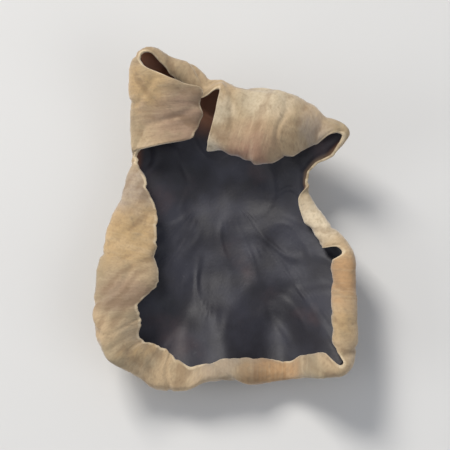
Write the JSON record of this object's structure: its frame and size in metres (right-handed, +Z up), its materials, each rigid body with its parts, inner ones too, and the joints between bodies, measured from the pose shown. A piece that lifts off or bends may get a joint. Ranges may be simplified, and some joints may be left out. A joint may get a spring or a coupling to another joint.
{
  "type": "dried wood ear mushroom",
  "caption": "Dried wood ear mushroom, a thin leathery dish with its dark inner face up, its margin rolled in to show the tan felted back, and a short cut stub beneath.",
  "frame": {"origin": "centre of the bounding box's base, on the surface that it lies on", "axes": "+Z up out of the dish, +Y towards the hood at the far side, +X to the right as the picture shows it"},
  "size_m": [0.0482, 0.0628, 0.0191],
  "materials": {
    "fruit_body": "dried and leathery: smooth satin charcoal on the inner face, velvety tan on the outer face"
  },
  "bodies": {
    "root": {"fruit_body": "fruit_body"}
  },
  "joints": []
}
